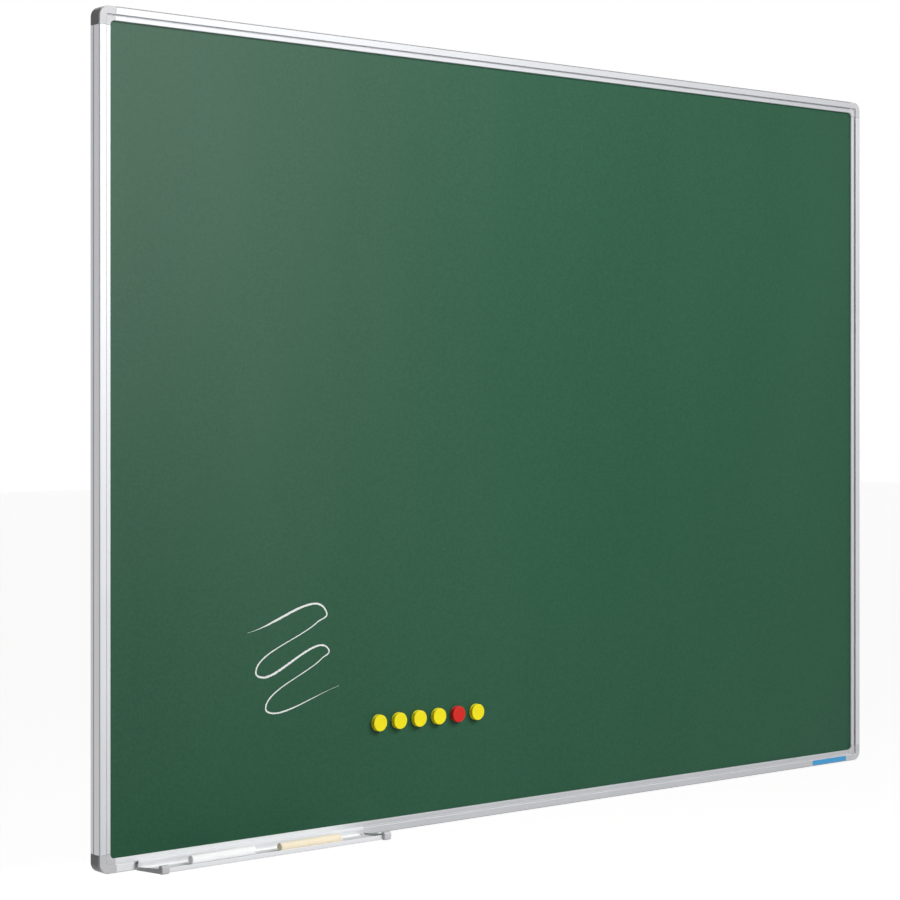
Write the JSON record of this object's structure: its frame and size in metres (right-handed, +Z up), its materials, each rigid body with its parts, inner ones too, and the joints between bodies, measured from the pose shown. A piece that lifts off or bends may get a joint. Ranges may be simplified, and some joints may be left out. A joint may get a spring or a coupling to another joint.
{
  "type": "wall chalkboard",
  "caption": "Wall chalkboard with an aluminium frame, plastic corner caps, a clip-on chalk tray, round magnets, chalk and wall hooks.",
  "frame": {"origin": "middle of the board's width and height, on the wall plane behind it", "axes": "+X to the right seen from the front, along the width; +Y into the wall; +Z up"},
  "size_m": [1.2, 0.0725, 0.9],
  "materials": {
    "writing_enamel": "matt chalkboard enamel",
    "anodised_aluminium": "satin anodised",
    "corner_plastic": "fine matt, moulded",
    "tray_plastic": "fine matt, moulded",
    "zinc_steel": "zinc plated",
    "core_board": "raw board",
    "yellow_plastic": "glossy moulded",
    "red_plastic": "glossy moulded",
    "ferrite": "ground ferrite",
    "white_chalk": "powdery",
    "yellow_chalk": "powdery"
  },
  "bodies": {
    "wall_hooks": {"wall_hook_left": "zinc_steel", "wall_hook_right": "zinc_steel", "wall_clip_left": "zinc_steel", "wall_clip_right": "zinc_steel"},
    "board": {"writing_sheet": "writing_enamel", "core_panel": "core_board", "backing_sheet": "zinc_steel", "top_rail": "anodised_aluminium", "bottom_rail": "anodised_aluminium", "left_stile": "anodised_aluminium", "right_stile": "anodised_aluminium", "corner_cap_top_left": "corner_plastic", "corner_cap_top_right": "corner_plastic", "corner_cap_bottom_left": "corner_plastic", "corner_cap_bottom_right": "corner_plastic", "corner_screw_1": "zinc_steel", "corner_screw_2": "zinc_steel", "corner_screw_3": "zinc_steel", "corner_screw_4": "zinc_steel", "corner_screw_5": "zinc_steel", "corner_screw_6": "zinc_steel", "corner_screw_7": "zinc_steel", "corner_screw_8": "zinc_steel"},
    "tray": {"chalk_tray": "anodised_aluminium", "tray_end_cap_left": "tray_plastic", "tray_end_cap_right": "tray_plastic"},
    "white_stick": {"chalk_white": "white_chalk"},
    "yellow_stick": {"chalk_yellow": "yellow_chalk"},
    "magnet_1": {"magnet_cap_1": "yellow_plastic", "magnet_core_1": "ferrite"},
    "magnet_2": {"magnet_cap_2": "yellow_plastic", "magnet_core_2": "ferrite"},
    "magnet_3": {"magnet_cap_3": "yellow_plastic", "magnet_core_3": "ferrite"},
    "magnet_4": {"magnet_cap_4": "yellow_plastic", "magnet_core_4": "ferrite"},
    "magnet_5": {"magnet_cap_5": "red_plastic", "magnet_core_5": "ferrite"},
    "magnet_6": {"magnet_cap_6": "yellow_plastic", "magnet_core_6": "ferrite"}
  },
  "joints": [
    {"name": "board_lift", "type": "slide", "parent": "wall_hooks", "child": "board", "axis": [0, 0, 1], "range_m": [0, 0.0035]},
    {"name": "tray_slide", "type": "slide", "parent": "board", "child": "tray", "axis": [1, 0, 0], "range_m": [-0.022, 0.84]},
    {"name": "white_chalk_lift", "type": "slide", "parent": "tray", "child": "white_stick", "axis": [0, 0, 1], "range_m": [0, 0.06]},
    {"name": "yellow_chalk_lift", "type": "slide", "parent": "tray", "child": "yellow_stick", "axis": [0, 0, 1], "range_m": [0, 0.06]},
    {"name": "magnet_1_slide", "type": "slide", "parent": "board", "child": "magnet_1", "axis": [0, 0, 1], "range_m": [-0.095, 0.75]},
    {"name": "magnet_2_slide", "type": "slide", "parent": "board", "child": "magnet_2", "axis": [0, 0, 1], "range_m": [-0.095, 0.75]},
    {"name": "magnet_3_slide", "type": "slide", "parent": "board", "child": "magnet_3", "axis": [0, 0, 1], "range_m": [-0.095, 0.75]},
    {"name": "magnet_4_slide", "type": "slide", "parent": "board", "child": "magnet_4", "axis": [0, 0, 1], "range_m": [-0.095, 0.75]},
    {"name": "magnet_5_slide", "type": "slide", "parent": "board", "child": "magnet_5", "axis": [0, 0, 1], "range_m": [-0.095, 0.75]},
    {"name": "magnet_6_slide", "type": "slide", "parent": "board", "child": "magnet_6", "axis": [0, 0, 1], "range_m": [-0.095, 0.75]}
  ]
}
